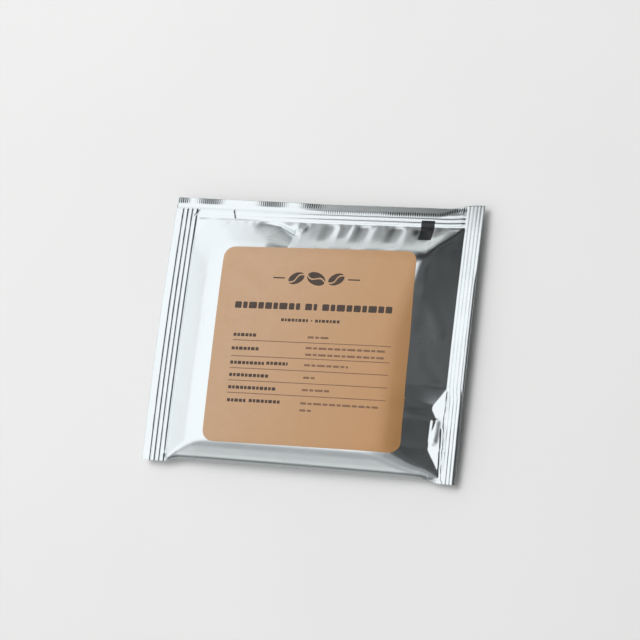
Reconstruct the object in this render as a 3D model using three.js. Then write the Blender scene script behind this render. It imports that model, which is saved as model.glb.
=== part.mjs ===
// Sealed foil sachet of a single-serve drip coffee bag, lying on its back.
// One web of laminate is folded along the bottom edge and heat-sealed up both sides and across the top.
// The filter bag inside fills it out to a flat-topped pillow. A kraft label is stuck to the front.
// Millimetres. +X runs along the bottom fold, +Y towards the top seal, +Z out of the labelled front.
// The origin is under the middle of the sachet, on the surface that it rests on.
import * as THREE from "three";

// Sachet outline and seals
const sachetWidth = 120;
const sachetHeight = 100;
const leftSealWidth = 9;
const rightSealWidth = 6.2;
const topSealWidth = 8;
const sealThickness = 0.3;
const sealLift = 4.5;
const ribPitch = 2;
const sideRibDepth = 0.5;
const topRibDepth = 0.4;
const topRibFade = 4;

// Filled body: how far in from the seals the top of the contents starts, and how thick it is
const frontRise = 7;
const frontDome = 0.8;
const backDrop = 6;
const leftSlope = 13.5;
const rightSlope = 17.8;
const rightSlopeAtTop = 10.8;
const rightSlopeTaper = 30;
const topSlope = 13;
const topHollow = 1.5;
const bottomSlope = 7;
const backSideSlope = 20;
const backTopSlope = 16;
const backBottomSlope = 9;
const shoulderBlend = 0.3;
const hipBlend = 0.12;
const foldRadius = 1.2;
const foldFade = 3;
const foldRowShares = [0.15, 0.5];

// What handling has done to the film
const cornerDroop = 1.4;
const topCurl = 1.1;
const topCurlCentre = 26;
const topCurlReach = 26;
const topEdgeBow = 1.4;
const topBowPeak = 10;
const topBowEnd = 15;
const bottomEdgeBow = 1.3;
const bowSharpness = 6;

// Valleys pressed into the front below the top seal. The ends are shares of half the sachet's width and of
// the top slope below the seal, the width is a share of that slope, the depth of the front's rise.
const topValleys = [
  { fromX: -0.4, toX: -0.2, fromBelow: 0, toBelow: 0.9, width: 0.36, depth: 0.24 },
  { fromX: 0.05, toX: 0.06, fromBelow: 0.1, toBelow: 0.5, width: 0.24, depth: 0.05 },
  { fromX: 0.24, toX: 0.23, fromBelow: 0.1, toBelow: 0.6, width: 0.26, depth: 0.07 },
  { fromX: 0.45, toX: 0.44, fromBelow: 0.1, toBelow: 0.6, width: 0.26, depth: 0.07 },
  { fromX: 0.58, toX: 0.6, fromBelow: 0.3, toBelow: 0.8, width: 0.22, depth: 0.07 },
];

// Film pinched flat beside the right seal, low down: how far above the fold, as a share of the sachet's
// height, and how far it reaches in from the seal, as a share of the seal's width.
const flatMargin = [
  { above: 0.03, reach: 0 },
  { above: 0.11, reach: 0.77 },
  { above: 0.21, reach: 0.44 },
  { above: 0.26, reach: 0.72 },
  { above: 0.34, reach: 0 },
];

// Black registration mark that the packing machine reads, printed across the lower edge of the top seal
const markWidth = 5;
const markHeight = 8.2;
const markThickness = 0.1;
const markGap = 0.25;
const markFromRightSeal = 11.3;
const markBelowSeal = 5.9;

// Label. It fills the height between the fold and the mark, and is stuck on a little askew.
const labelWidth = 74;
const labelAboveFold = 8;
const labelBelowMark = 6.1;
const labelRight = 3.5;
const labelTurn = 0.7;
const labelCornerRadius = 4;
const labelThickness = 0.12;
const labelGap = 0.25;

// How finely the curved faces are divided
const bodyColumns = 34;
const bodyRows = 30;
const labelColumns = 20;
const labelRows = 16;
const cornerSteps = 4;

const edgeX = sachetWidth / 2;
const topY = sachetHeight / 2;
const foldY = -sachetHeight / 2;
const leftX = leftSealWidth - edgeX;
const rightX = edgeX - rightSealWidth;
const middleX = (leftX + rightX) / 2;
const sealY = topY - topSealWidth;
const markLow = sealY - markBelowSeal;
const labelLow = foldY + labelAboveFold;
const labelHeight = markLow - labelBelowMark - labelLow;

const clamp01 = (t) => Math.min(1, Math.max(0, t));

// The smaller of two values, with the corner between them rounded over a width k.
function softMin(a, b, k) {
  const overlap = Math.max(k - Math.abs(a - b), 0) / k;
  return Math.min(a, b) - (overlap * overlap * k) / 4;
}

// A bump of height 1 and half-width reach.
function bump(offset, reach) {
  const t = clamp01(1 - Math.abs(offset) / reach);
  return t * t * (3 - 2 * t);
}

// Whole ribs that fit across a seal, so that the pattern starts and ends at its edges.
const ribCount = (width) => Math.max(1, Math.round(width / ribPitch));

// A rib profile: 0 at each side of a rib and 1 on its crest.
function ribWave(distance, width) {
  const ribs = (distance / width) * ribCount(width);
  return 1 - Math.abs(1 - 2 * (ribs - Math.floor(ribs)));
}

// How far a point lies inside the nearer side seal.
const insideSeals = (x) => Math.min(x - leftX, rightX - x);

// Height of the ribs rolled into the seals. The side ribs run the full height of the sachet.
function ribHeight(x, y) {
  if (x < leftX) return sideRibDepth * ribWave(leftX - x, leftSealWidth);
  if (x > rightX) return sideRibDepth * ribWave(x - rightX, rightSealWidth);
  if (y <= sealY) return 0;
  const fade = clamp01(insideSeals(x) / topRibFade);
  return topRibDepth * fade * ribWave(y - sealY, topSealWidth);
}

// Middle of the two films where they are sealed together. The corners droop and the top edge curls back.
function sealPlane(x, y) {
  const droop = cornerDroop * (x / edgeX) ** 2 * (y / topY) ** 2;
  const past = clamp01((y - sealY) / topSealWidth);
  const curl = topCurl * past * past * bump(x - topCurlCentre, topCurlReach);
  return sealLift - droop - curl;
}

// How far the film lies flat inside the right seal.
function marginReach(y) {
  const above = (y - foldY) / sachetHeight;
  const next = flatMargin.findIndex((stop) => stop.above > above);
  if (next < 1) return 0;
  const [low, high] = [flatMargin[next - 1], flatMargin[next]];
  const share = (above - low.above) / (high.above - low.above);
  return rightSealWidth * (low.reach + share * (high.reach - low.reach));
}

// Width of the front's right slope, which grows steeper towards the top seal.
function rightSlopeWidth(y) {
  const share = clamp01(y / rightSlopeTaper);
  return rightSlope + share * (rightSlopeAtTop - rightSlope);
}

// Share of the full fill, 0 at the seals and 1 over the contents, for given slope widths. The top slope is
// straight where hollow is 1, and leaves the seal more gently where it is more.
function fillShare(x, y, left, right, top, bottom, margin, hollow) {
  const sides = softMin((x - leftX) / left, (rightX - margin - x) / right, hipBlend);
  const down = Math.max(0, (sealY - y) / top) ** hollow;
  const ends = softMin(down, (y - foldY) / bottom, hipBlend);
  return softMin(Math.max(0, softMin(sides, ends, hipBlend)), 1, shoulderBlend);
}

// Half the thickness of the rounded film at the bottom fold. It is pressed flat at the side seals.
function foldRound(x, y) {
  const inside = clamp01(insideSeals(x) / foldFade);
  const along = 1 - clamp01((y - foldY) / foldRadius);
  const roll = Math.sqrt(Math.max(0, 1 - along * along));
  return foldRadius * inside * roll * clamp01((sealY - y) / topSlope);
}

// How deep the valleys below the top seal are at a point.
function valleyDepth(x, y) {
  const below = sealY - y;
  let deepest = 0;
  for (const valley of topValleys) {
    const [fromX, fromBelow] = [valley.fromX * edgeX, valley.fromBelow * topSlope];
    const runX = valley.toX * edgeX - fromX;
    const runBelow = valley.toBelow * topSlope - fromBelow;
    const along = ((x - fromX) * runX + (below - fromBelow) * runBelow) / (runX * runX + runBelow * runBelow);
    const nearX = fromX + runX * clamp01(along);
    const nearBelow = fromBelow + runBelow * clamp01(along);
    const away = Math.hypot(x - nearX, below - nearBelow);
    deepest = Math.max(deepest, valley.depth * frontRise * bump(away, valley.width * topSlope));
  }
  return deepest;
}

// Outer face of the front film.
function frontHeight(x, y) {
  const flat = sealPlane(x, y) + ribHeight(x, y) + sealThickness / 2;
  const right = rightSlopeWidth(y);
  const fill = fillShare(x, y, leftSlope, right, topSlope, bottomSlope, marginReach(y), topHollow);
  if (fill <= 0) return flat + foldRound(x, y);
  const across = (x - middleX) / (rightX - middleX);
  const dome = frontDome * clamp01(1 - across * across) * clamp01(1 - (y / topY) ** 2);
  const valley = Math.min(valleyDepth(x, y), frontRise * fill);
  return flat + foldRound(x, y) + frontRise * fill + dome * fill - valley;
}

// Outer face of the back film, which the weight of the contents presses flat on the surface below.
function backHeight(x, y) {
  const flat = sealPlane(x, y) + ribHeight(x, y) - sealThickness / 2;
  const fill = fillShare(x, y, backSideSlope, backSideSlope, backTopSlope, backBottomSlope, 0, 1);
  return Math.max(0, flat - foldRound(x, y) - backDrop * fill);
}

// Where a point of the flat film ends up in plan: the filled body draws the top edge and the fold in.
function drawnIn(x, y) {
  const share = (y / topY) ** bowSharpness;
  const fromLeft = Math.sin((Math.PI / 2) * clamp01((x + edgeX) / (topBowPeak + edgeX)));
  const fromRight = bump(Math.max(0, x - edgeX + topBowEnd), topBowEnd);
  const bow =
    y > 0
      ? -topEdgeBow * fromLeft * fromRight
      : bottomEdgeBow * clamp01(insideSeals(x) / (2 * foldFade));
  return y + bow * share;
}

// Evenly spaced stops from a to b, both included.
function evenStops(a, b, count) {
  return Array.from({ length: count + 1 }, (_, i) => a + ((b - a) * i) / count);
}

// Stops from a to b that lie closer together towards both ends.
function endWeightedStops(a, b, count) {
  return evenStops(-1, 1, count).map(
    (t) => (a + b) / 2 + ((b - a) / 2) * (t + Math.sin((t * Math.PI) / 2)) / 2,
  );
}

// One list of stops in rising order, without those that lie on each other.
function joinStops(...lists) {
  const sorted = lists.flat().sort((a, b) => a - b);
  return sorted.filter((stop, i) => i === 0 || stop - sorted[i - 1] > 1e-6);
}

// A closed solid between two faces over a grid of points. point(i, j) gives the plan position of a grid point.
function solidBetween(columns, rows, point, upper, lower) {
  const positions = [];
  const faces = [];
  const layer = (columns + 1) * (rows + 1);
  for (const height of [upper, lower]) {
    for (let j = 0; j <= rows; j++) {
      for (let i = 0; i <= columns; i++) {
        const [x, y] = point(i, j);
        positions.push(x, drawnIn(x, y), height(x, y));
      }
    }
  }
  const at = (i, j, under) => j * (columns + 1) + i + (under ? layer : 0);
  const heightAt = (index) => positions[3 * index + 2];

  // Each cell is split along the diagonal that lies nearer the true face, so that creases stay sharp.
  function addCell(i, j, under, height) {
    const [a, b] = [at(i, j, under), at(i + 1, j, under)];
    const [d, c] = [at(i, j + 1, under), at(i + 1, j + 1, under)];
    const [lowX, lowY] = point(i, j);
    const [highX, highY] = point(i + 1, j + 1);
    const middle = height((lowX + highX) / 2, (lowY + highY) / 2);
    const alongAC = Math.abs((heightAt(a) + heightAt(c)) / 2 - middle);
    const alongBD = Math.abs((heightAt(b) + heightAt(d)) / 2 - middle);
    const pair = alongAC <= alongBD ? [[a, b, c], [a, c, d]] : [[a, b, d], [b, c, d]];
    for (const [p, q, r] of pair) faces.push(...(under ? [p, r, q] : [p, q, r]));
  }
  for (let j = 0; j < rows; j++) {
    for (let i = 0; i < columns; i++) {
      addCell(i, j, false, upper);
      addCell(i, j, true, lower);
    }
  }

  const addWall = (p, q) => faces.push(p, p + layer, q + layer, p, q + layer, q);
  for (let i = 0; i < columns; i++) {
    addWall(at(i, 0, false), at(i + 1, 0, false));
    addWall(at(i + 1, rows, false), at(i, rows, false));
  }
  for (let j = 0; j < rows; j++) {
    addWall(at(0, j + 1, false), at(0, j, false));
    addWall(at(columns, j, false), at(columns, j + 1, false));
  }

  const geometry = new THREE.BufferGeometry();
  geometry.setAttribute("position", new THREE.Float32BufferAttribute(positions, 3));
  geometry.setIndex(faces);
  geometry.computeVertexNormals();
  return geometry;
}

function sachetColumns() {
  return joinStops(
    evenStops(-edgeX, leftX, 2 * ribCount(leftSealWidth)),
    endWeightedStops(leftX, rightX, bodyColumns),
    evenStops(rightX, edgeX, 2 * ribCount(rightSealWidth)),
  );
}

function sachetRows() {
  return joinStops(
    foldRowShares.map((share) => foldY + foldRadius * share),
    endWeightedStops(foldY, sealY, bodyRows),
    evenStops(sealY, topY, 2 * ribCount(topSealWidth)),
  );
}

function foilSachet() {
  const [xs, ys] = [sachetColumns(), sachetRows()];
  return solidBetween(xs.length - 1, ys.length - 1, (i, j) => [xs[i], ys[j]], frontHeight, backHeight);
}

// Rows up a rectangle with round corners, close together where the corners turn.
function roundedRows() {
  const straight = labelHeight / 2 - labelCornerRadius;
  const turn = evenStops(0, Math.PI / 2, cornerSteps).map(
    (angle) => straight + labelCornerRadius * Math.sin(angle),
  );
  return joinStops(turn.map((v) => -v), evenStops(-straight, straight, labelRows), turn);
}

function kraftLabel() {
  const rows = roundedRows();
  const straight = labelHeight / 2 - labelCornerRadius;
  const turn = THREE.MathUtils.degToRad(labelTurn);
  const point = (i, j) => {
    const intoCorner = Math.max(0, Math.abs(rows[j]) - straight);
    const inset = labelCornerRadius - Math.sqrt(Math.max(0, labelCornerRadius ** 2 - intoCorner ** 2));
    const across = ((2 * i) / labelColumns - 1) * (labelWidth / 2 - inset);
    return [
      labelRight + across * Math.cos(turn) - rows[j] * Math.sin(turn),
      labelLow + labelHeight / 2 + across * Math.sin(turn) + rows[j] * Math.cos(turn),
    ];
  };
  const under = (x, y) => frontHeight(x, y) + labelGap;
  const over = (x, y) => under(x, y) + labelThickness;
  return solidBetween(labelColumns, rows.length - 1, point, over, under);
}

function registrationMark() {
  const right = rightX - markFromRightSeal;
  const high = markLow + markHeight;
  const xs = evenStops(right - markWidth, right, 2);
  const ys = joinStops([markLow, high], sachetRows().filter((y) => y > markLow && y < high));
  const under = (x, y) => frontHeight(x, y) + markGap;
  const over = (x, y) => under(x, y) + markThickness;
  return solidBetween(xs.length - 1, ys.length - 1, (i, j) => [xs[i], ys[j]], over, under);
}

const foil = new THREE.MeshStandardMaterial({ color: 0xd5d8da, roughness: 0.24, metalness: 1 });
const kraftPaper = new THREE.MeshStandardMaterial({ color: 0xc49c74, roughness: 0.55, metalness: 0 });
const blackInk = new THREE.MeshStandardMaterial({ color: 0x1c1f20, roughness: 0.3, metalness: 0 });

function addPiece(group, name, geometry, material) {
  const piece = new THREE.Mesh(geometry, material);
  piece.name = name;
  group.add(piece);
}

const dripCoffeeBag = new THREE.Group();
addPiece(dripCoffeeBag, "foil_sachet", foilSachet(), foil);
addPiece(dripCoffeeBag, "kraft_label", kraftLabel(), kraftPaper);
addPiece(dripCoffeeBag, "registration_mark", registrationMark(), blackInk);

export default dripCoffeeBag;
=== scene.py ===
"""A single-serve drip coffee bag lying face up on a pale table.

The sachet is one web of metallised film, folded along its lower edge and heat-sealed up both sides and
across the top. A kraft paper label is stuck to its front, and a black registration mark is printed on it.
Sizes are in millimetres on the flat film, +X along the fold and +Y towards the top seal, as in the frame.
"""

import logging
import math
from collections.abc import Callable, Sequence
from dataclasses import dataclass
from enum import Enum
from itertools import cycle

import bpy
import numpy as np
from mathutils import Matrix, Vector, noise


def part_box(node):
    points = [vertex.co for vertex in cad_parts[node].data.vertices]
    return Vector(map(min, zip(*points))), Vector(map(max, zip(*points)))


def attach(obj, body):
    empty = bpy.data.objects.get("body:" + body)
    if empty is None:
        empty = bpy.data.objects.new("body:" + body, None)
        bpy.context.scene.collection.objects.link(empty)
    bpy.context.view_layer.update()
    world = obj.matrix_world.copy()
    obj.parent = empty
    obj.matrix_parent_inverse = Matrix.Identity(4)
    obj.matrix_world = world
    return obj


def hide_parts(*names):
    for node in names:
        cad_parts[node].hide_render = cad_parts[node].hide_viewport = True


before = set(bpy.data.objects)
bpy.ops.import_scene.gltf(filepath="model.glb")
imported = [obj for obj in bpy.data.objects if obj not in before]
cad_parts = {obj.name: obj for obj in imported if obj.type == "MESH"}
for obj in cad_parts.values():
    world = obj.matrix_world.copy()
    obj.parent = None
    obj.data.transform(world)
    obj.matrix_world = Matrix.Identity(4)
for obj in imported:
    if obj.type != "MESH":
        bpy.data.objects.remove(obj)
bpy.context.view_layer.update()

MM = 0.001
# Name of the mesh attribute that holds how much shade is painted into the film's colour
PAINTED_SHADE_ATTRIBUTE = "groove"
log = logging.getLogger("drip_coffee_bag")

Field = np.ndarray
Pair = tuple[float, float]
Triple = tuple[float, float, float]
Span = Pair
Height = Callable[[Field, Field], Field]
Place = Callable[[Field, Field], tuple[Field, Field, Field]]
Socket = bpy.types.NodeSocket
Piece = bpy.types.Object


# Curves and ripples that the film is shaped from


def unit(t: Field) -> Field:
    """Limits a share to the range 0 to 1."""
    return np.clip(t, 0.0, 1.0)


def ease(t: Field) -> Field:
    """Rises smoothly from 0 to 1 as t does."""
    t = unit(t)
    return t * t * t * (t * (6 * t - 15) + 10)


def through(t: Field, span: Span) -> Field:
    """How far t has come through a span, 0 at its start and 1 at its end."""
    return unit((t - span[0]) / (span[1] - span[0]))


def mound(t: Field, place: Pair) -> Field:
    """A smooth mound of height 1, placed by its middle and its reach."""
    return ease(1 - np.abs(t - place[0]) / place[1])


def soft_min(a: Field, b: Field, blend: Field | float) -> Field:
    """The smaller of two fields, with the corner between them rounded over a width blend."""
    overlap = np.maximum(blend - np.abs(a - b), 0) / blend
    return np.minimum(a, b) - overlap * overlap * blend / 4


def ribs(offset: Field, pitch: float, half_width: float) -> Field:
    """A rib pattern: 0 in the bottom of a groove and 1 on a rib, with a groove at offset 0."""
    return unit(np.abs(offset - pitch * np.rint(offset / pitch)) / half_width)


@dataclass(frozen=True)
class Ripple:
    """Smooth irregular ripples.

    A ripple's size is its length and width. Its length is turned so many degrees from +X, and the layer
    picks one pattern of ripples out of many.
    """

    depth: float
    size: Pair
    turn: float
    layer: float

    def at(self, x: Field, y: Field) -> Field:
        """Height of the ripples, up to about their depth either way."""
        angle = math.radians(self.turn)
        along = (x * math.cos(angle) + y * math.sin(angle)) / self.size[0]
        across = (y * math.cos(angle) - x * math.sin(angle)) / self.size[1]
        points = zip(along.ravel(), across.ravel())
        heights = [noise.noise((u, v, self.layer), noise_basis="PERLIN_NEW") for u, v in points]
        return self.depth * np.array(heights).reshape(x.shape)


class Profile(Enum):
    """Section across a crease."""

    SOFT = "soft"
    SHARP = "sharp"
    FOLDED = "folded"


@dataclass(frozen=True)
class Crease:
    """A valley, or a ridge where its depth is negative, along a short line on the flat film.

    The line runs from start to end. The valley spreads as far as left and right of it, seen along the line.
    """

    start: Pair
    end: Pair
    left: float
    right: float
    depth: float
    profile: Profile = Profile.SOFT

    def depth_at(self, x: Field, y: Field) -> Field:
        """How far the crease presses the film in at each point, mm."""
        run_x = self.end[0] - self.start[0]
        run_y = self.end[1] - self.start[1]
        length = math.hypot(run_x, run_y)
        from_x, from_y = x - self.start[0], y - self.start[1]
        along = unit((from_x * run_x + from_y * run_y) / length**2)
        away = np.hypot(from_x - along * run_x, from_y - along * run_y)
        side = (run_x * from_y - run_y * from_x) / length
        side = np.divide(side, away, out=np.zeros_like(away), where=away > 1e-6)
        reach = (self.left + self.right) / 2 + (self.left - self.right) / 2 * side
        if self.profile is Profile.SHARP:
            return self.depth * unit(1 - away / reach)
        if self.profile is Profile.FOLDED:
            return self.depth * unit(1 - away / reach) ** 2
        return self.depth * ease(1 - away / reach)


def pinch(start: Pair, end: Pair, reach: float, depth: float) -> Crease:
    """A sharp crease, as wide on its left as on its right."""
    return Crease(start, end, reach, reach, depth, Profile.SHARP)


def dent(start: Pair, end: Pair, reach: float, depth: float) -> Crease:
    """A soft crease, as wide on its left as on its right."""
    return Crease(start, end, reach, reach, depth)


def even(start: float, end: float, count: int) -> Field:
    """Stops from start to end, both included, count steps apart."""
    return np.linspace(start, end, count + 1)


def joined(*stops: Sequence[float] | Field) -> Field:
    """One rising list of stops without those that lie on each other."""
    return np.unique(np.round(np.concatenate([np.asarray(s, float) for s in stops]), 5))


# Finishes


def linear(colour: str) -> tuple[float, float, float, float]:
    """Turns an sRGB hex colour such as "#C49C74" into linear RGBA."""
    channels = [int(colour[i : i + 2], 16) / 255 for i in (1, 3, 5)]
    shades = [c / 12.92 if c <= 0.04045 else ((c + 0.055) / 1.055) ** 2.4 for c in channels]
    return (*shades, 1.0)


class Nodes:
    """A node tree, filled a node at a time."""

    def __init__(self, tree: bpy.types.NodeTree) -> None:
        """Takes the tree to fill."""
        self.tree = tree

    def add(self, kind: str, links: dict | None = None, **settings: object) -> bpy.types.Node:
        """Adds a node.

        Args:
            kind: The node's type, without ShaderNode in front.
            links: For each input socket, by name or number, a value or the output socket that feeds it.
            settings: Properties of the node, such as operation.

        Returns:
            The new node.
        """
        node = self.tree.nodes.new(f"ShaderNode{kind}")
        for name, value in settings.items():
            setattr(node, name, value)
        for socket, value in (links or {}).items():
            if isinstance(value, Socket):
                self.tree.links.new(value, node.inputs[socket])
            else:
                node.inputs[socket].default_value = value
        return node

    def clouds(self, place: Socket, scale: float, detail: float) -> Socket:
        """Cloudy noise, most of it between 0.3 and 0.7."""
        return self.add("TexNoise", {"Vector": place, "Scale": scale, "Detail": detail}).outputs["Fac"]

    def along(self, place: Socket, direction: Sequence[float]) -> Socket:
        """How far a place lies along a direction."""
        return self.add("VectorMath", {0: place, 1: direction}, operation="DOT_PRODUCT").outputs["Value"]

    def ramp(self, value: Socket, span: Span, low: float = 0.0, high: float = 1.0, **settings: str) -> Socket:
        """Maps a span of a value to the range from low to high, and holds it there outside the span."""
        links = {"Value": value, "From Min": span[0], "From Max": span[1], "To Min": low, "To Max": high}
        return self.add("MapRange", links, **settings).outputs["Result"]


class MaterialNodes(Nodes):
    """The nodes of one material, with its patterns on the piece's own coordinates."""

    def __init__(self, name: str) -> None:
        """Starts a material that holds its output and the coordinates."""
        self.material = bpy.data.materials.new(name)
        self.material.use_nodes = True
        super().__init__(self.material.node_tree)
        self.tree.nodes.clear()
        self.output = self.add("OutputMaterial")
        self.place = self.add("TexCoord").outputs["Object"]

    def grain(self, size: float, detail: float) -> Socket:
        """Cloudy noise in clouds of about this size, mm."""
        return self.clouds(self.place, 1 / (size * MM), detail)

    def blend(self, share: Socket, base: Socket | str, other: str) -> Socket:
        """Blends a share of another colour into a base colour."""
        base = linear(base) if isinstance(base, str) else base
        return self.add("Mix", {0: share, 6: base, 7: linear(other)}, data_type="RGBA").outputs[2]

    def relief(self, height: Socket, depth: float) -> Socket:
        """The normal of a surface with fine relief of this depth, mm."""
        return self.add("Bump", {"Height": height, "Strength": 1.0, "Distance": depth * MM}).outputs["Normal"]

    def finish(self, kind: str, links: dict) -> bpy.types.Material:
        """Ends the tree in a shader of this type and gives the finished material."""
        self.tree.links.new(self.add(kind, links).outputs[0], self.output.inputs["Surface"])
        return self.material


@dataclass(frozen=True)
class FoilLaminate:
    """Metallised polyester film on a heat-seal layer, fresh off the roll.

    It gives the eye a satin mirror: broad clear lights and darks, softened as if through thin mist. Shade is
    painted into its colour in the teeth, in and over the fold and along the top seal's edge.
    """

    colour: str = "#E4EAEB"
    # Painted shade: the dark that the colour is blended towards where shade falls
    painted_shade_colour: str = "#16191A"
    roughness_low: float = 0.2
    roughness_high: float = 0.28
    haze_size: float = 14.0
    haze_span: Span = (0.3, 0.7)
    grain_size: float = 0.7
    grain_depth: float = 0.0007

    def build(self) -> bpy.types.Material:
        """Makes the film's material."""
        nodes = MaterialNodes("metallised_film")
        haze = nodes.grain(self.haze_size, 2)
        # Painted shade, read from the film's mesh attribute
        groove = nodes.add("Attribute", attribute_name=PAINTED_SHADE_ATTRIBUTE).outputs["Fac"]
        return nodes.finish("BsdfPrincipled", {
            "Base Color": nodes.blend(groove, self.colour, self.painted_shade_colour),
            "Metallic": 1.0,
            "Roughness": nodes.ramp(haze, self.haze_span, self.roughness_low, self.roughness_high),
            "Normal": nodes.relief(nodes.grain(self.grain_size, 3), self.grain_depth),
        })


@dataclass(frozen=True)
class KraftPaper:
    """Unbleached kraft label paper with a thin gloss varnish.

    It gives the eye a warm tan that is faintly mottled, with short fibres just visible close to. Painted
    shade darkens it a little, to a deeper orange, towards one corner.
    """

    colour: str = "#BC9A7B"
    dark_colour: str = "#B3906F"
    # Painted shade: the deeper orange towards the lower right, along a direction and over a span, mm
    shaded_colour: str = "#B38657"
    shade_towards: Triple = (1.0, -0.35, 0.0)
    shade_span: Span = (-22.0, 52.0)
    fibre_colour: str = "#A87F57"
    roughness: float = 0.42
    mottle_size: float = 5.0
    fibre_size: Pair = (2.4, 0.3)
    fibre_span: Span = (0.56, 0.8)
    fibre_strength: float = 0.35
    fibre_depth: float = 0.012

    def build(self) -> bpy.types.Material:
        """Makes the paper's material."""
        nodes = MaterialNodes("varnished_kraft_paper")
        along, across = (1 / (size * MM) for size in self.fibre_size)
        stretched = nodes.add("Mapping", {"Vector": nodes.place, "Scale": (along, across, across)})
        fibre = nodes.clouds(stretched.outputs[0], 1.0, 3)
        # Painted shade laid over the mottled tone, darkest towards the lower right
        towards_shade = nodes.along(nodes.place, self.shade_towards)
        tone = nodes.blend(nodes.grain(self.mottle_size, 4), self.colour, self.dark_colour)
        shade_share = nodes.ramp(towards_shade, tuple(end * MM for end in self.shade_span))
        tone = nodes.blend(shade_share, tone, self.shaded_colour)
        tone = nodes.blend(nodes.ramp(fibre, self.fibre_span, high=self.fibre_strength), tone, self.fibre_colour)
        return nodes.finish("BsdfPrincipled", {
            "Base Color": tone,
            "Roughness": self.roughness,
            "Normal": nodes.relief(fibre, self.fibre_depth),
        })


@dataclass(frozen=True)
class Ink:
    """Printing ink laid down thinly enough for the grain below to mottle it.

    It gives the eye a flat dark tone with worn, slightly lighter specks.
    """

    name: str
    colour: str
    worn_colour: str
    roughness: float
    speck_size: float = 0.5
    wear_span: Span = (0.5, 0.8)

    def build(self) -> bpy.types.Material:
        """Makes the ink's material."""
        nodes = MaterialNodes(self.name)
        wear = nodes.ramp(nodes.grain(self.speck_size, 3), self.wear_span)
        tone = nodes.blend(wear, self.colour, self.worn_colour)
        return nodes.finish("BsdfPrincipled", {"Base Color": tone, "Roughness": self.roughness})


@dataclass(frozen=True)
class TableTop:
    """Pale matt laminate table top. It gives the eye an even off-white that holds a soft shadow."""

    colour: str = "#E2E2E0"
    cloud_colour: str = "#DDDDDB"
    cloud_size: float = 90.0
    roughness: float = 0.7

    def build(self) -> bpy.types.Material:
        """Makes the table top's material."""
        nodes = MaterialNodes("matt_white_laminate")
        tone = nodes.blend(nodes.grain(self.cloud_size, 2), self.colour, self.cloud_colour)
        return nodes.finish("BsdfPrincipled", {"Base Color": tone, "Roughness": self.roughness})


# Mesh steps shared by the pieces


def select_only(*pieces: Piece) -> None:
    """Selects these pieces and nothing else, with the first active."""
    bpy.ops.object.select_all(action="DESELECT")
    for piece in pieces:
        piece.select_set(True)
    bpy.context.view_layer.objects.active = pieces[0]


def turn_over(sheet: Piece) -> None:
    """Turns a sheet's faces to its other side."""
    select_only(sheet)
    bpy.ops.object.mode_set(mode="EDIT")
    bpy.ops.mesh.select_all(action="SELECT")
    bpy.ops.mesh.flip_normals()
    bpy.ops.object.mode_set(mode="OBJECT")


def grid_sheet(name: str, columns: Field, rows: Field, place: Place, painted_shade: Height | None = None) -> Piece:
    """Models an open sheet from a grid primitive.

    Args:
        name: The sheet's name.
        columns: Flat x of each column of points.
        rows: Flat y of each row of points.
        place: Gives the x, y and z in mm of points at a flat x and y.
        painted_shade: Gives the share of painted shade, from 0 to 1, at a point, to be kept as an attribute.

    Returns:
        The sheet, smooth shaded, with faces that point up.
    """
    bpy.ops.object.select_all(action="DESELECT")
    steps_x, steps_y = len(columns) - 1, len(rows) - 1
    bpy.ops.mesh.primitive_grid_add(x_subdivisions=steps_x, y_subdivisions=steps_y, size=1)
    sheet = bpy.context.object
    sheet.name = sheet.data.name = name
    flat = np.empty(len(sheet.data.vertices) * 3)
    sheet.data.vertices.foreach_get("co", flat)
    flat = flat.reshape(-1, 3)
    column = np.rint((flat[:, 0] + 0.5) * steps_x).astype(int)
    row = np.rint((flat[:, 1] + 0.5) * steps_y).astype(int)
    placed = np.stack(place(columns[column], rows[row]), axis=1) * MM
    sheet.data.vertices.foreach_set("co", placed.ravel())
    # Keeps the share of painted shade at each point as a mesh attribute
    if painted_shade:
        shade_values = sheet.data.attributes.new(PAINTED_SHADE_ATTRIBUTE, "FLOAT", "POINT")
        shade_values.data.foreach_set("value", painted_shade(columns[column], rows[row]))
    sheet.data.update()
    bpy.ops.object.shade_smooth()
    return sheet


def join(name: str, pieces: Sequence[Piece]) -> Piece:
    """Joins pieces into one object of that name."""
    select_only(*pieces)
    bpy.ops.object.join()
    whole = bpy.context.object
    whole.name = whole.data.name = name
    return whole


def thicken(sheet: Piece, thickness: float, rim_angle: float = 50.0) -> None:
    """Gives a sheet a wall below its surface, mm, and keeps the rim crisp."""
    select_only(sheet)
    solidify = sheet.modifiers.new("wall", "SOLIDIFY")
    solidify.thickness = thickness * MM
    solidify.offset = -1
    bpy.ops.object.modifier_apply(modifier=solidify.name)
    bpy.ops.object.shade_smooth_by_angle(angle=math.radians(rim_angle))


def dress(piece: Piece, material: bpy.types.Material, node: str | None) -> None:
    """Gives a piece its material and its place in the frame, and hides the CAD node that it stands for."""
    piece.data.materials.clear()
    piece.data.materials.append(material)
    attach(piece, "root")
    if node:
        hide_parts(node)
    log.info("%s: %d faces", piece.name, len(piece.data.polygons))


def turned(along: Field, up: Field, degrees: float, centre: Pair) -> tuple[Field, Field]:
    """The place of a point along and up from a centre, once turned about the centre."""
    sin, cos = math.sin(math.radians(degrees)), math.cos(math.radians(degrees))
    return centre[0] + along * cos - up * sin, centre[1] + along * sin + up * cos


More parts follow.
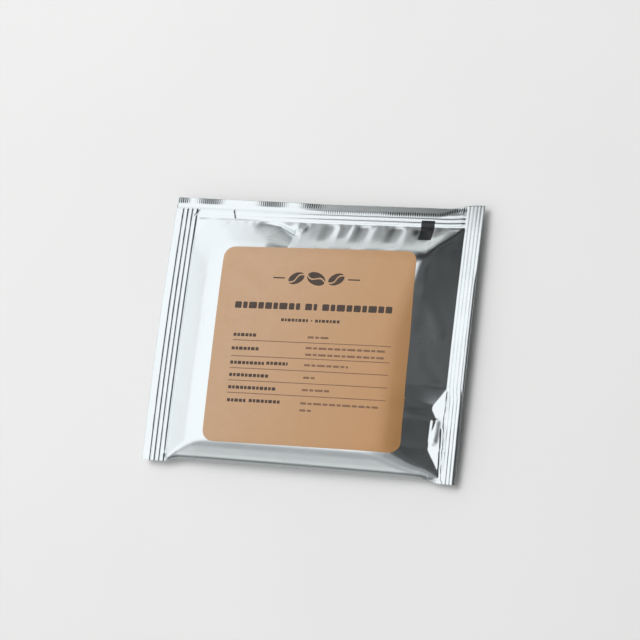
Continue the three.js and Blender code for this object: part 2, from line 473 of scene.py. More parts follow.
def rounded_sheet(
    name: str, centre: Pair, size: Pair, radius: float, step: float, height: Height, turn: float
) -> Piece:
    """Models a sheet with round corners that lies on a surface.

    Args:
        name: The sheet's name.
        centre: Its middle on the flat film.
        size: Its width and height.
        radius: Radius of its corners.
        step: Largest distance between its points.
        height: Gives the surface's z at a flat x and y.
        turn: How far the sheet is turned about its middle, degrees.

    Returns:
        The open sheet.
    """
    width, tall = size
    radius = min(radius, width / 2, tall / 2)
    straight = tall / 2 - radius
    corner_steps = 5 if radius > 1 else 3
    corner = straight + radius * np.sin(even(0, math.pi / 2, corner_steps))
    middle = even(-straight, straight, max(1, math.ceil(2 * straight / step))) if straight > 0 else [0.0]
    rows = joined(-corner, middle, corner)
    columns = even(-1, 1, max(2, math.ceil(width / step)))

    def place(share: Field, v: Field) -> tuple[Field, Field, Field]:
        into = np.maximum(np.abs(v) - straight, 0)
        inset = radius - np.sqrt(np.maximum(radius**2 - into**2, 0))
        x, y = turned(share * (width / 2 - inset), v, turn, centre)
        return x, y, height(x, y)

    return grid_sheet(name, columns, rows, place)


# The film's shape


@dataclass(frozen=True)
class Knurl:
    """Upright teeth rolled into the top seal: hard in patches at the left, and in one row on the right."""

    pitch: float = 0.85
    depth: float = 0.2
    tooth_share: float = 0.4

    # Middle, reach and strength of each patch, the heights in which its teeth grow, and a faint row below
    patches: tuple[Triple, ...] = ((-46.5, 8.0, 1.0), (-21.0, 8.5, 1.0), (-58.0, 4.5, 1.0), (-5.0, 7.0, 0.6))
    patch_foot: Span = (5.6, 6.2)
    faint_row: Pair = (3.9, 0.7)
    faint_strength: float = 0.12
    faint_end: float = 8.0

    # The row on the right, and the spans of x in which it begins, grows stronger and climbs to the edge
    row: Pair = (4.6, 1.3)
    row_climb: float = 2.2
    row_strength: float = 0.35
    row_gain: float = 0.75
    begins: Span = (-4.0, 4.0)
    grows: Span = (20.0, 30.0)
    climbs: Span = (42.0, 52.0)

    def bite(self, x: Field, above: Field) -> Field:
        """How deep the teeth bite at a height above the seal's lower edge, 1 being their full depth."""
        patches = sum(strength * mound(x, place) for *place, strength in self.patches)
        left = np.minimum(patches, 1) * through(above, self.patch_foot)
        left = left + self.faint_strength * mound(above, self.faint_row) * (x < self.faint_end)
        row = mound(above - self.row_climb * ease(through(x, self.climbs)), self.row)
        strength = self.row_strength + self.row_gain * ease(through(x, self.grows))
        tooth = 1 - ribs(x, self.pitch, self.pitch * self.tooth_share)
        return tooth * (left + row * strength * ease(through(x, self.begins)))


@dataclass(frozen=True)
class FilmShape:
    """Where the two films of the sachet lie. Its sizes are those of the solid model, mm."""

    width: float
    height: float
    left_seal: float = 9.0
    right_seal: float = 6.2
    top_seal: float = 8.0
    seal_thickness: float = 0.3
    seal_lift: float = 4.5
    seal_wave: Ripple = Ripple(0.1, (16.0, 30.0), 90.0, 3.0)

    # Ribs rolled into the left seal, and how far below the top edge they fade out
    left_rib_pitch: float = 1.9
    left_rib_depth: float = 0.42
    left_grooves: int = 4
    left_groove: float = 0.5
    left_rib_stop: Span = (4.0, 4.8)

    # Ribs rolled into the right seal, which deepen downwards and shift outwards low down
    right_rib_pitch: float = 1.3
    right_rib_depth: float = 0.13
    right_rib_ease: float = 0.3
    right_groove: float = 0.45
    right_deepening: float = 0.03
    right_deepens: Span = (-5.0, -45.0)
    right_shift: float = 0.6
    right_shifts: Span = (-15.0, -22.0)
    roll_width: float = 0.9
    roll_drop: float = 0.4
    roll_starts: Span = (29.0, 21.0)
    rib_unevenness: Ripple = Ripple(0.22, (5.0, 3.0), 90.0, 11.0)

    # Ribs and teeth rolled into the top seal, the ribs faint at the left
    top_rib_pitch: float = 1.75
    top_rib_depth: float = 0.26
    top_ribs: int = 2
    top_groove: float = 0.4
    top_rib_faint: float = 0.25
    top_rib_grows: Span = (-20.0, 0.0)
    top_rib_ease: float = 1.5
    top_rib_overlap: float = 1.0
    knurl: Knurl = Knurl()
    knurl_ease: float = 0.8

    # The filled body
    front_rise: float = 7.0
    front_dome: float = 0.8
    back_drop: float = 6.0
    left_slope: float = 13.5
    right_slope: float = 17.8
    right_slope_at_top: float = 10.8
    right_slope_taper: float = 30.0
    top_slope: float = 13.0
    top_hollow: float = 1.5
    hollow_from: float = 0.55
    bottom_slope: float = 7.0
    back_side_slope: float = 20.0
    back_top_slope: float = 16.0
    back_bottom_slope: float = 9.0
    slope_blend: float = 0.1
    shoulder_blend: float = 0.3
    hip_softening: float = 0.2

    # How soft the hips are at the bottom left, bottom right, top left and top right
    hip_blends: tuple[float, ...] = (0.05, 0.5, 0.9, 0.05)
    fold_radius: float = 1.2

    # What handling has done to the film
    corner_droop: float = 1.4
    curl_angle: float = 15.0
    curl_from: float = 4.6
    curl_softening: float = 0.6
    curl_grows: Span = (-14.0, 2.0)
    curl_ease: float = 4.0
    top_edge_bow: float = 1.4
    top_bow_peak: float = 10.0
    top_bow_end: float = 15.0
    bottom_edge_bow: float = 1.3
    bottom_bow_end: float = 6.0
    bow_sharpness: int = 6

    # Slack in the front film: everywhere, in the right face and near the top, with none under the label
    slack: float = 0.035
    right_slack: float = 0.13
    right_face: Span = (34.0, 40.0)
    top_slack: float = 0.05
    top_face: Span = (30.0, 36.0)
    slack_margin: float = 3.0
    slack_ripples: tuple[Ripple, ...] = (Ripple(1.0, (17.0, 7.0), 120.0, 1.0), Ripple(0.4, (6.0, 4.0), 40.0, 5.0))
    label_across: Pair = (2.5, 42.0)
    label_up: Pair = (-5.5, 40.0)
    label_hold: float = 3.0

    # Fine wrinkles along the right seal and below the top seal, and slack in the back film
    wrinkles: Ripple = Ripple(0.4, (5.0, 0.8), 92.0, 7.0)
    wrinkles_across: Pair = (54.2, 1.1)
    wrinkles_start: Span = (-19.0, -23.0)
    pucker: Ripple = Ripple(0.12, (2.6, 5.0), 0.0, 9.0)
    pucker_above: Pair = (-1.2, 1.8)
    crease_ease: float = 2.5
    back_slack: Ripple = Ripple(0.35, (20.0, 9.0), 70.0, 13.0)
    back_slack_margin: float = 4.0

    # Painted shade in the teeth, in and over the fold, and along the left half of the top seal
    teeth_shade: float = 2.2
    fold_shade: float = 0.5
    fold_line_shade: float = 0.4
    fold_shade_ease: float = 2.0
    seal_line_shade: float = 0.4
    seal_line: Pair = (0.1, 0.5)
    seal_line_spans: tuple[Span, Span] = ((-51.0, -49.0), (-16.0, -22.0))
    fold_line_reach: float = 0.5
    seal_line_breaks: Ripple = Ripple(1.0, (7.0, 4.0), 0.0, 17.0)

    # Where the body starts inside the right seal, low down: height above the fold and x of the crease
    margin_above: tuple[float, ...] = (0.0, 3.5, 11.3, 15.8, 21.4, 23.3, 25.5, 27.0, 33.2)
    margin_x: tuple[float, ...] = (53.8, 53.8, 49.0, 49.7, 51.1, 50.6, 49.2, 49.4, 53.8)

    # Valleys and ridges pressed into the slope below the top seal
    slope_creases: tuple[Crease, ...] = (
        Crease((-20.5, 42.6), (-10.6, 37.0), left=1.1, right=8.5, depth=1.5, profile=Profile.FOLDED),
        Crease((-10.6, 37.0), (-10.4, 30.0), left=1.1, right=9.0, depth=2.0, profile=Profile.FOLDED),
        Crease((-15.0, 41.2), (-6.8, 38.9), left=2.2, right=2.0, depth=-0.35),
        dent((3.8, 41.5), (3.6, 34.0), 4.6, 0.4),
        dent((10.0, 40.5), (9.6, 36.0), 3.6, 0.25),
        dent((17.0, 40.6), (16.4, 34.0), 5.2, 0.5),
        dent((29.4, 40.6), (28.8, 34.5), 5.2, 0.5),
        dent((38.4, 39.0), (42.6, 32.4), 4.4, 0.5),
        dent((-34.9, 42.9), (-38.6, 38.2), 1.6, 0.1),
        # The ridge where the top slope turns into the right one
        Crease((51.0, 39.2), (44.0, 32.4), left=3.4, right=5.0, depth=-0.7),
    )

    creases: tuple[Crease, ...] = (
        # A nick across the lower edge of the top seal, and two small folds at its left end
        pinch((-35.7, 45.6), (-34.9, 42.9), 0.55, 0.5),
        pinch((-51.8, 43.2), (-50.2, 45.2), 0.5, 0.4),
        pinch((-52.0, -46.4), (-50.6, -48.2), 0.6, 0.45),
        # Film crushed along the inner edge of the right seal
        pinch((54.3, -17.5), (54.1, -29.5), 0.4, 0.3),
        pinch((54.1, -29.5), (54.7, -38.5), 0.45, 0.45),
        pinch((53.4, -31.5), (53.7, -38.0), 0.4, 0.3),
        pinch((54.5, -38.5), (55.0, -48.6), 0.5, 0.5),
        pinch((53.6, -39.0), (54.0, -47.8), 0.4, 0.35),
        Crease((50.6, -29.0), (50.2, -35.5), left=3.4, right=1.6, depth=-0.5),
        # The film's own crease just above the fold
        pinch((-47.5, -48.6), (50.0, -48.6), 0.55, 0.3),
        # Shallow dents in the right face
        Crease((50.6, 33.0), (48.2, 25.5), left=2.4, right=2.8, depth=0.16),
        dent((43.5, 16.0), (50.0, 3.0), 3.2, -0.22),
        dent((46.0, -8.0), (50.0, -13.0), 3.0, 0.18),
    )

    @property
    def edge_x(self) -> float:
        """Half the width."""
        return self.width / 2

    @property
    def top_y(self) -> float:
        """The top edge."""
        return self.height / 2

    @property
    def fold_y(self) -> float:
        """The bottom fold."""
        return -self.height / 2

    @property
    def left_x(self) -> float:
        """The inner edge of the left seal."""
        return self.left_seal - self.edge_x

    @property
    def right_x(self) -> float:
        """The inner edge of the right seal."""
        return self.edge_x - self.right_seal

    def inside_seals(self, x: Field) -> Field:
        """How far a point lies inside the nearer side seal."""
        return np.minimum(x - self.left_x, self.right_x - x)

    @property
    def seal_y(self) -> float:
        """The lower edge of the top seal."""
        return self.top_y - self.top_seal

    def seal_plane(self, x: Field, y: Field) -> Field:
        """Middle of the two films where they are sealed together."""
        droop = self.corner_droop * (x / self.edge_x) ** 2 * (y / self.top_y) ** 2
        past = np.maximum(y - self.seal_y - self.curl_from, 0)
        curled = ease(through(x, self.curl_grows)) * ease((self.right_x - x) / self.curl_ease)
        curled *= unit(past / self.curl_softening)
        curl = math.tan(math.radians(self.curl_angle)) * past * curled
        roll = self.roll_drop * unit((x - self.edge_x + self.roll_width) / self.roll_width)
        roll *= ease(through(y, self.roll_starts))
        wave = self.seal_wave.at(x, y) * unit(-self.inside_seals(x) / self.right_seal)
        return self.seal_lift - droop - curl - roll + wave

    def seal_relief(self, x: Field, y: Field) -> Field:
        """Height of the ribs and teeth rolled into the seals."""
        left_in = self.left_x - x
        left = self.left_rib_depth * ribs(left_in, self.left_rib_pitch, self.left_groove)
        past_grooves = left_in > (self.left_grooves - 0.5) * self.left_rib_pitch
        left = np.where(past_grooves, self.left_rib_depth, left)
        left *= through(self.top_y - y, self.left_rib_stop) * (left_in > 0)
        right_in = x - self.right_x - self.right_shift * ease(through(y, self.right_shifts))
        right = self.right_rib_depth + self.right_deepening * through(y, self.right_deepens)
        right = right * ribs(right_in, self.right_rib_pitch, self.right_groove)
        right *= unit(right_in / self.right_rib_ease)
        return (left + right) * (1 + self.rib_unevenness.at(x, y)) + self.top_relief(x, y)

    def top_relief(self, x: Field, y: Field) -> Field:
        """Height of the level ribs and the upright teeth across the top seal."""
        above = y - self.seal_y
        inside = unit((self.right_x - x) / self.top_rib_ease)
        inside *= unit((x - self.left_x + self.top_rib_overlap) / self.top_rib_ease)
        strength = self.top_rib_faint + (1 - self.top_rib_faint) * ease(through(x, self.top_rib_grows))
        past_ribs = above - self.top_ribs * self.top_rib_pitch
        level = ribs(above, self.top_rib_pitch, self.top_groove)
        level = np.where(past_ribs > 0, unit(past_ribs / self.top_groove), level)
        level = self.top_rib_depth * level * strength * inside * (above > 0)
        return level - self.knurl.depth * self.teeth(x, y)

    def teeth(self, x: Field, y: Field) -> Field:
        """How deep the teeth bite, fading out at the right seal."""
        return self.knurl.bite(x, y - self.seal_y) * unit((self.right_x - x) / self.knurl_ease)

    def painted_shade(self, x: Field, y: Field) -> Field:
        """Share of painted shade at each point: in a tooth, in and over the fold and along the seal's edge."""
        above_fold = y - self.fold_y - self.fold_radius
        fold = np.where(above_fold < 0, self.fold_shade, 0.0)
        fold += self.fold_line_shade * unit(1 - np.abs(above_fold) / self.fold_line_reach)
        fold *= unit(self.inside_seals(x) / self.fold_shade_ease)
        starts, ends = self.seal_line_spans
        seal = self.seal_line_shade * mound(y - self.seal_y, self.seal_line)
        seal *= ease(through(x, starts)) * ease(through(x, ends)) * unit(0.5 + self.seal_line_breaks.at(x, y))
        # Painted shade from the teeth, the fold, the line over it and the seal's edge, capped at 1
        return unit(self.teeth_shade * self.teeth(x, y) + fold + seal)

    def body_edge(self, y: Field) -> Field:
        """x of the crease where the body starts inside the right seal."""
        above = np.array(self.margin_above) + self.fold_y
        return np.interp(y, above, np.array(self.margin_x))

    def right_crest(self, y: Field) -> Field:
        """x of the top of the right slope, which grows narrower towards the top seal."""
        taper = unit(y / self.right_slope_taper)
        return self.right_x - self.right_slope - (self.right_slope_at_top - self.right_slope) * taper

    def corner_blend(self, x: Field, y: Field) -> Field:
        """How soft a hip is at each point, from its values at the four corners."""
        across = through(x, (self.left_x, self.right_x))
        up = through(y, (self.fold_y, self.seal_y))
        low_left, low_right, high_left, high_right = self.hip_blends
        low = low_left + (low_right - low_left) * across
        high = high_left + (high_right - high_left) * across
        return low + (high - low) * up

    def fill_share(self, x: Field, y: Field, slopes: tuple, edge: Field, hollow: float = 1.0) -> Field:
        """Share of the full fill, 0 at the seals and 1 over the contents.

        Args:
            x: Flat x of each point.
            y: Flat y of each point.
            slopes: Widths of the left, right, top and bottom slopes.
            edge: x of the right slope's foot.
            hollow: Above 1, how gently the top slope leaves the seal.

        Returns:
            The share at each point.
        """
        left, right, top, bottom = slopes
        crest = self.right_x - right
        sides = soft_min((x - self.left_x) / left, (edge - x) / (edge - crest), self.slope_blend)
        across = through(x, (self.left_x, self.right_x))
        down = np.maximum((self.seal_y - y) / top, 0) ** (1 + (hollow - 1) * ease(across / self.hollow_from))
        ends = soft_min(down, (y - self.fold_y) / bottom, self.slope_blend)
        blend = self.corner_blend(x, y) + self.hip_softening * unit(np.minimum(sides, ends))
        share = np.maximum(soft_min(sides, ends, blend), 0)
        return soft_min(share, np.ones_like(share), self.shoulder_blend)

    def fold_round(self, x: Field, y: Field) -> Field:
        """Half the thickness of the rolled film at the bottom fold, pressed flat at the side seals."""
        edge = self.body_edge(y)
        inside = unit(np.minimum((x - self.left_x) / self.left_slope, (edge - x) / (edge - self.right_crest(y))))
        along = 1 - unit((y - self.fold_y) / self.fold_radius)
        roll = np.sqrt(np.maximum(1 - along**2, 0))
        return self.fold_radius * inside * roll * unit((self.seal_y - y) / self.top_slope)

    def front_base(self, x: Field, y: Field) -> Field:
        """Outer face of the front film without its creases and ripples."""
        slopes = (self.left_slope, self.right_x - self.right_crest(y), self.top_slope, self.bottom_slope)
        fill = self.fill_share(x, y, slopes, self.body_edge(y), self.top_hollow)
        middle = (self.left_x + self.right_x) / 2
        across = (x - middle) / (self.right_x - middle)
        dome = self.front_dome * unit(1 - across**2) * unit(1 - (y / self.top_y) ** 2)
        flat = self.seal_plane(x, y) + self.seal_relief(x, y) + self.seal_thickness / 2
        return flat + self.fold_round(x, y) + (self.front_rise + dome) * fill

    def front(self, x: Field, y: Field) -> Field:
        """Outer face of the front film."""
        creases = sum(crease.depth_at(x, y) for crease in self.creases)
        below_seal = ease((self.seal_y - y) / self.crease_ease)
        creases = creases + below_seal * sum(crease.depth_at(x, y) for crease in self.slope_creases)
        return self.front_base(x, y) - creases + self.front_ripples(x, y)

    def clear_of_edges(self, x: Field, y: Field, margin: float) -> Field:
        """1 well inside the seals and the fold, and 0 at them, rising within a margin."""
        share = unit(self.inside_seals(x) / margin) * unit((self.seal_y - y) / margin)
        return share * unit((y - self.fold_y) / margin)

    def front_ripples(self, x: Field, y: Field) -> Field:
        """Slack in the front film, most of it in the right face and along the right seal."""
        slack = self.slack + self.right_slack * ease(through(x, self.right_face))
        slack = slack + self.top_slack * ease(through(y, self.top_face))
        clouds = slack * sum(ripple.at(x, y) for ripple in self.slack_ripples)
        clouds *= self.clear_of_edges(x, y, self.slack_margin)
        held = unit(self.label_hold * mound(x, self.label_across) * mound(y, self.label_up))
        crushed = mound(x, self.wrinkles_across) * through(y, self.wrinkles_start)
        pucker = self.pucker.at(x, y) * mound(y - self.seal_y, self.pucker_above)
        pucker = pucker * unit((self.right_x - x) / self.slack_margin)
        return clouds * (1 - held) + crushed * self.wrinkles.at(x, y) + pucker

    def back(self, x: Field, y: Field) -> Field:
        """Outer face of the back film, which the contents press flat on the table."""
        slopes = (self.back_side_slope, self.back_side_slope, self.back_top_slope, self.back_bottom_slope)
        fill = self.fill_share(x, y, slopes, np.full_like(x, self.right_x))
        flat = self.seal_plane(x, y) + self.seal_relief(x, y) - self.seal_thickness / 2
        slack = self.back_slack.at(x, y) * self.clear_of_edges(x, y, self.back_slack_margin)
        return np.maximum(flat - self.fold_round(x, y) - self.back_drop * fill + slack, 0.0)

    def drawn_in(self, x: Field, y: Field) -> Field:
        """y of a point of the flat film once the filled body has drawn in the top edge and the fold."""
        share = (y / self.top_y) ** self.bow_sharpness
        from_left = np.sin(math.pi / 2 * unit((x + self.edge_x) / (self.top_bow_peak + self.edge_x)))
        top = -self.top_edge_bow * from_left * ease((self.edge_x - x) / self.top_bow_end)
        bottom = self.bottom_edge_bow * unit(self.inside_seals(x) / self.bottom_bow_end)
        return y + np.where(y > 0, top, bottom) * share

    def on(self, height: Height) -> Place:
        """The way that a sheet is laid on a face of the film."""
        return lambda x, y: (x, self.drawn_in(x, y), height(x, y))


# The pieces


@dataclass
class FoilSachet:
    """The sealed sachet: a front and a back film, joined round their edges."""

    shape: FilmShape
    finish: FoilLaminate = FoilLaminate()
    seal_step: float = 0.25
    steps_per_tooth: int = 4
    front_rows: tuple[int, int, int] = (60, 24, 24)
    row_breaks: Pair = (-14.0, 29.0)
    fold_steps: tuple[float, ...] = (0.0, 0.03, 0.12, 0.27, 0.5, 0.75, 1.0)
    back_columns: tuple[int, int, int] = (18, 180, 12)

    def columns(self, counts: Sequence[int]) -> Field:
        """Columns of a film, with this many steps across the left seal, the body and the right seal."""
        s = self.shape
        stops = (-s.edge_x, s.left_x, s.right_x, s.edge_x)
        return joined(*map(even, stops, stops[1:], counts))

    def rows(self) -> Field:
        """Rows of the front film, close together in the fold, the top seal and the creased ends."""
        s = self.shape
        fold = s.fold_y + s.fold_radius * np.array(self.fold_steps)
        stops = (fold[-1], *self.row_breaks, s.seal_y, s.top_y)
        counts = (*self.front_rows, round(s.top_seal / self.seal_step))
        return joined(fold, *map(even, stops, stops[1:], counts))

    def model(self) -> Piece:
        """Models the closed sachet, its front in step with the teeth and its back coarser."""
        s = self.shape
        widths = (s.left_seal, s.right_x - s.left_x, s.right_seal)
        steps = (self.seal_step, s.knurl.pitch / self.steps_per_tooth, self.seal_step)
        fine = self.columns([round(width / step) for width, step in zip(widths, steps)])
        # The front film carries the painted shade of its teeth, fold and seal edge
        front = grid_sheet("front_film", fine, self.rows(), s.on(s.front), s.painted_shade)
        back_rows = joined(self.rows()[::2], [s.fold_y, s.top_y])
        back = grid_sheet("back_film", self.columns(self.back_columns), back_rows, s.on(s.back))
        turn_over(back)
        sachet = join("foil_sachet_film", [front, back])
        bpy.ops.object.mode_set(mode="EDIT")
        bpy.ops.mesh.select_mode(type="EDGE")
        bpy.ops.mesh.select_all(action="DESELECT")
        bpy.ops.mesh.select_non_manifold()
        bpy.ops.mesh.bridge_edge_loops()
        bpy.ops.object.mode_set(mode="OBJECT")
        return sachet

    def build(self) -> None:
        """Models and dresses the sachet."""
        dress(self.model(), self.finish.build(), "foil_sachet")


@dataclass(frozen=True)
class Bars:
    """Rows of printed bars, whose widths are used over and over.

    Each row is given by its left end, its right end and its distance down.
    """

    tall: float
    widths: tuple[float, ...]
    gap: float
    rows: tuple[Triple, ...]


@dataclass
class KraftLabel:
    """The label on the front, and the shapes printed on it."""

    shape: FilmShape
    paper: KraftPaper = KraftPaper()
    dark_ink: Ink = Ink("dark_brown_ink", "#3C2E25", "#5A4636", 0.5)
    pale_ink: Ink = Ink("thin_brown_ink", "#755640", "#8B6A4E", 0.5)
    width: float = 74.0
    height: float = 72.0
    corner_radius: float = 4.0
    right: float = 3.5
    above_fold: float = 8.0
    askew: float = 0.7
    thickness: float = 0.12
    lift: float = 0.22
    step: float = 0.8
    ink_lift: float = 0.03
    ink_thickness: float = 0.01
    ink_step: float = 1.5

    # Print is placed from the label's top left corner. Beans: middle, turn and length of each
    beans: tuple[Triple, ...] = ((29.8, 25.0, 6.4), (37.4, -20.0, 7.4), (45.1, 25.0, 6.4))
    bean_down: float = 11.5
    bean_width: float = 0.62
    bean_seam: float = 0.28
    bean_swing: float = 0.16
    bean_tip: float = 0.86
    side_bars: Pair = (23.1, 51.8)
    side_bar_size: Pair = (4.6, 0.45)
    side_bar_rounding: float = 0.2
    dot_place: Pair = (37.5, 26.9)
    dot_size: Pair = (0.6, 0.6)

    heading: Bars = Bars(2.4, (2.6, 1.7, 3.1, 2.1), 0.6, (
        (7.1, 32.5, 21.9), (34.5, 39.0, 21.9), (41.0, 67.2, 21.9),
    ))
    small: Bars = Bars(1.05, (1.0, 0.7, 1.2), 0.4, ((25.8, 36.2, 26.9), (38.9, 48.8, 26.9)))
    caption: Bars = Bars(1.15, (1.2, 1.0, 1.4), 0.36, (
        (7.9, 16.8, 32.9), (7.8, 19.1, 37.9), (7.9, 21.1, 43.1), (22.0, 30.2, 42.9),
        (8.0, 23.4, 47.6), (8.2, 27.2, 52.1), (8.3, 16.0, 56.8), (16.8, 28.8, 56.7),
    ))
    entry: Bars = Bars(0.75, (2.3, 1.5, 3.0, 1.9), 0.55, (
        (36.7, 45.3, 32.9), (36.4, 66.8, 36.8), (36.5, 65.9, 39.2), (36.5, 53.1, 43.0),
        (36.7, 41.1, 47.5), (36.7, 47.5, 51.9), (36.6, 65.6, 56.7), (36.6, 41.9, 59.2),
    ))
    shortest_bar: float = 0.4
    bar_rounding: float = 0.15

    # Rules between the rows of the table: distance down, left end and right end, and thickness
    rules_down: tuple[float, ...] = (34.9, 40.7, 45.1, 49.6, 54.1)
    rule_ends: Pair = (7.9, 68.1)
    rule_thickness: float = 0.28
    rule_rounding: float = 0.1

    @property
    def centre(self) -> Pair:
        """Middle of the label on the flat film."""
        return self.right, self.shape.fold_y + self.above_fold + self.height / 2

    def top(self, x: Field, y: Field) -> Field:
        """Height of the label's face."""
        return self.shape.front_base(x, y) + self.lift

    def printed(self, x: Field, y: Field) -> Field:
        """Height of the ink."""
        return self.top(x, y) + self.ink_lift

    def on_paper(self, left: float, down: float) -> Pair:
        """Place on the flat film of a point left and down of the label's top left corner."""
        return turned(left - self.width / 2, self.height / 2 - down, self.askew, self.centre)

    def stamp(self, left: float, down: float, size: Pair, radius: float) -> Piece:
        """A printed bar whose middle lies left and down of the label's corner."""
        middle = self.on_paper(left, down)
        return rounded_sheet("stamp", middle, size, radius, self.ink_step, self.printed, self.askew)

    def bars(self, style: Bars) -> list[Piece]:
        """Rows of printed bars, each with its last bar cut short at the row's end."""
        stamps = []
        for start, end, down in style.rows:
            widths = cycle(style.widths)
            while start < end - self.shortest_bar:
                size = (min(next(widths), end - start), style.tall)
                stamps.append(self.stamp(start + size[0] / 2, down, size, style.tall * self.bar_rounding))
                start += size[0] + style.gap
        return stamps

    def bean(self, left: float, turn: float, length: float) -> list[Piece]:
        """A coffee bean in two halves with a curved seam between them."""
        width = length * self.bean_width
        centre = self.on_paper(left, self.bean_down)

        def half(side: int) -> Piece:
            """The half above the seam or, with side -1, the one below it."""

            def place(t: Field, share: Field) -> tuple[Field, Field, Field]:
                along = np.sin(t * math.pi / 2)
                inner = self.bean_swing * width * np.sin(along * math.pi) + side * self.bean_seam
                outer = side * width / 2 * np.cos(t * math.pi / 2)
                outer = np.where(side * (outer - inner) > 0, outer, inner)
                across = inner + share * (outer - inner)
                x, y = turned(along * length / 2, across, turn + self.askew, centre)
                return x, y, self.printed(x, y)

            return grid_sheet("bean", even(-self.bean_tip, self.bean_tip, 18), even(0, 1, 3), place)

        upper, lower = half(1), half(-1)
        turn_over(lower)
        return [upper, lower]

    def dark_print(self) -> list[Piece]:
        """The ornament, the heading bars and the captions of the table."""
        pieces = [half for bean in self.beans for half in self.bean(*bean)]
        for left in self.side_bars:
            pieces.append(self.stamp(left, self.bean_down, self.side_bar_size, self.side_bar_rounding))
        pieces.append(self.stamp(*self.dot_place, self.dot_size, self.dot_size[0] / 2))
        return pieces + self.bars(self.heading) + self.bars(self.small) + self.bars(self.caption)

    def pale_print(self) -> list[Piece]:
        """The rules of the table and the thin bars of its entries."""
        left, right = self.rule_ends
        size = (right - left, self.rule_thickness)
        pieces = [self.stamp((left + right) / 2, down, size, self.rule_rounding) for down in self.rules_down]
        return pieces + self.bars(self.entry)

    def build(self) -> None:
        """Models and dresses the label and its print."""
        size = (self.width, self.height)
        label = rounded_sheet(
            "kraft_paper_label", self.centre, size, self.corner_radius, self.step, self.top, self.askew
        )
        thicken(label, self.thickness)
        dress(label, self.paper.build(), "kraft_label")
        for name, stamps, ink in (
            ("label_print_dark", self.dark_print(), self.dark_ink),
            ("label_print_pale", self.pale_print(), self.pale_ink),
        ):
            ink_layer = join(name, stamps)
            thicken(ink_layer, self.ink_thickness)
            dress(ink_layer, ink.build(), None)


@dataclass
class RegistrationMark:
    """The black patch that a packing machine reads, printed over the lower edge of the top seal."""

    shape: FilmShape
    ink: Ink = Ink("black_film_ink", "#191C1D", "#26292A", 0.24, 1.5)
    width: float = 5.0
    height: float = 8.2
    from_right_seal: float = 11.3
    below_seal: float = 5.9
    lift: float = 0.03
    thickness: float = 0.02
    across_steps: int = 22
    up_steps: tuple[int, int] = (16, 12)

    def height_at(self, x: Field, y: Field) -> Field:
        """Height of the ink."""
        return self.shape.front(x, y) + self.lift

    def build(self) -> None:
        """Models and dresses the mark."""
        s = self.shape
        right = s.right_x - self.from_right_seal
        low = s.seal_y - self.below_seal
        below, above = self.up_steps
        rows = joined(even(low, s.seal_y, below), even(s.seal_y, low + self.height, above))
        columns = even(right - self.width, right, self.across_steps)
        mark = grid_sheet("film_registration_mark", columns, rows, s.on(self.height_at))
        thicken(mark, self.thickness)
        dress(mark, self.ink.build(), "registration_mark")


# The studio


@dataclass(frozen=True)
class Glow:
    """A soft-edged softbox, card or flag on the dome, as the film mirrors it.

    It stands in a direction from the sachet, is even as far out as core degrees, and fades out at edge degrees.
    """

    direction: Triple
    core: float
    edge: float
    strength: float
    mottle: float = 0.0
    mottle_scale: float = 6.0
    mottle_span: Span = (0.4, 0.7)

    def over(self, below: Socket | float, nodes: Nodes, towards: Socket) -> Socket:
        """Strength of the dome once this glow is laid over what is below it."""
        angle = nodes.along(towards, Vector(self.direction).normalized())
        rim = (math.cos(math.radians(self.edge)), math.cos(math.radians(self.core)))
        inside = nodes.ramp(angle, rim, interpolation_type="SMOOTHSTEP")
        strength: Socket | float = self.strength
        if self.mottle:
            clouds = nodes.clouds(towards, self.mottle_scale, 2)
            strength = nodes.ramp(clouds, self.mottle_span, self.strength, self.strength + self.mottle)
        return nodes.add("Mix", {0: inside, 2: below, 3: strength}).outputs[0]


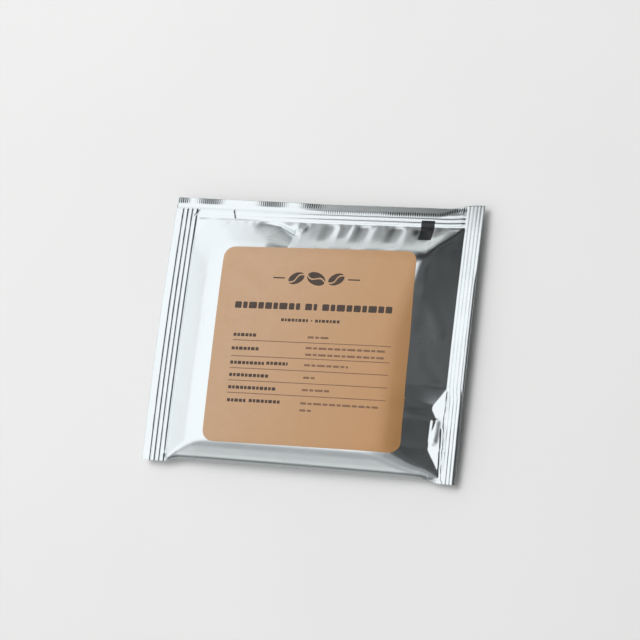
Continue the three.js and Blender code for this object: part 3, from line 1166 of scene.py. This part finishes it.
@dataclass
class Studio:
    """Pale table, soft light and the camera. Its sizes are in metres, but the camera's in millimetres."""

    table: TableTop = TableTop()
    table_size: float = 6.0
    dome_colour: str = "#FCFDFF"
    dome_strength: float = 0.93
    glows: tuple[Glow, ...] = (
        Glow((-0.62, 0.15, 0.72), 50.0, 68.0, 1.19),
        Glow((0.42, 0.86, 0.3), 22.0, 44.0, 0.1),
        Glow((-0.68, 0.7, 0.2), 22.0, 40.0, 1.16),
        Glow((-0.3, -0.93, 0.2), 10.0, 40.0, 0.45),
        Glow((0.14, -0.63, 0.77), 8.0, 27.0, 0.3),
        Glow((0.78, 0.12, 0.62), 35.0, 50.0, 0.035, mottle=0.13),
    )
    card_centre: Triple = (0.015, 0.25, 0.155)
    card_size: Pair = (0.28, 0.34)
    card_glows: Span = (0.02, 0.34)
    card_grade: Span = (0.0, 0.22)
    lamp_place: Triple = (-0.45, 0.35, 1.15)
    lamp_size: float = 0.8
    lamp_power: float = 9.0
    camera_place: Triple = (256.72, -120.77, 645.6)
    camera_target: Triple = (2.8, 5.7, 3.1)
    camera_roll: float = -58.444
    camera_lens: float = 109.32
    camera_sensor: float = 36.0

    def lay_table(self) -> None:
        """Lays the table top under the sachet."""
        bpy.ops.mesh.primitive_plane_add(size=self.table_size, location=(0, 0, 0))
        top = bpy.context.object
        top.name = "table_top"
        top.data.materials.append(self.table.build())

    def dome(self) -> None:
        """Makes the dome: softboxes, grey cards and black flags round the sachet, and white to the camera."""
        world = bpy.data.worlds.new("studio_dome")
        bpy.context.scene.world = world
        world.use_nodes = True
        nodes = Nodes(world.node_tree)
        towards = nodes.add("TexCoord").outputs["Generated"]
        strength: Socket | float = self.dome_strength
        for glow in self.glows:
            strength = glow.over(strength, nodes, towards)
        by_camera = nodes.add("LightPath").outputs["Is Camera Ray"]
        seen = nodes.add("Mix", {0: by_camera, 2: strength, 3: 1.0}).outputs[0]
        background = world.node_tree.nodes["Background"]
        background.inputs["Color"].default_value = linear(self.dome_colour)
        world.node_tree.links.new(seen, background.inputs["Strength"])

    def stand_card(self) -> None:
        """Stands a grey card behind the sachet, close enough for only the right half of the top to mirror it."""
        centre = Vector(self.card_centre)
        turn = centre.to_track_quat("Z", "Y").to_euler()
        bpy.ops.mesh.primitive_plane_add(size=1, location=centre, rotation=turn)
        card = bpy.context.object
        card.name = "grey_card"
        card.scale = (*self.card_size, 1)
        card.visible_camera = False
        card.visible_diffuse = False
        card.visible_shadow = False
        nodes = MaterialNodes("graded_card")
        across = nodes.add("SeparateXYZ", {0: nodes.place}).outputs["X"]
        glow = nodes.ramp(across, self.card_grade, *self.card_glows)
        card.data.materials.append(nodes.finish("Emission", {"Color": (1, 1, 1, 1), "Strength": glow}))

    def lamp(self) -> None:
        """Hangs one large soft lamp, which the film doesn't mirror."""
        place = Vector(self.lamp_place)
        turn = place.to_track_quat("Z", "Y").to_euler()
        bpy.ops.object.light_add(type="AREA", location=place, rotation=turn)
        lamp = bpy.context.object
        lamp.name = "soft_lamp"
        lamp.data.size = self.lamp_size
        lamp.data.energy = self.lamp_power
        lamp.visible_glossy = False

    def aim_camera(self) -> None:
        """Places the camera where the photograph was taken from."""
        bpy.ops.object.camera_add()
        camera = bpy.context.object
        place, target = Vector(self.camera_place) * MM, Vector(self.camera_target) * MM
        turn = (target - place).to_track_quat("-Z", "Y").to_matrix().to_4x4()
        roll = Matrix.Rotation(math.radians(self.camera_roll), 4, "Z")
        camera.matrix_world = Matrix.Translation(place) @ turn @ roll
        camera.data.sensor_width = self.camera_sensor
        camera.data.lens = self.camera_lens
        camera.data.dof.use_dof = False
        bpy.context.scene.camera = camera
        bpy.context.scene.view_settings.view_transform = "Standard"

    def build(self) -> None:
        """Sets up the whole studio."""
        self.lay_table()
        self.dome()
        self.stand_card()
        self.lamp()
        self.aim_camera()
        log.info("studio: %d glows on the dome", len(self.glows))


def main() -> None:
    """Builds the sachet, its label and its mark, then the studio round them."""
    logging.basicConfig(level=logging.INFO, format="%(name)s: %(message)s")
    low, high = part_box("foil_sachet")
    shape = FilmShape(width=(high.x - low.x) / MM, height=(high.y - low.y) / MM)
    FoilSachet(shape).build()
    KraftLabel(shape).build()
    RegistrationMark(shape).build()
    Studio().build()


if __name__ == "__main__":
    main()
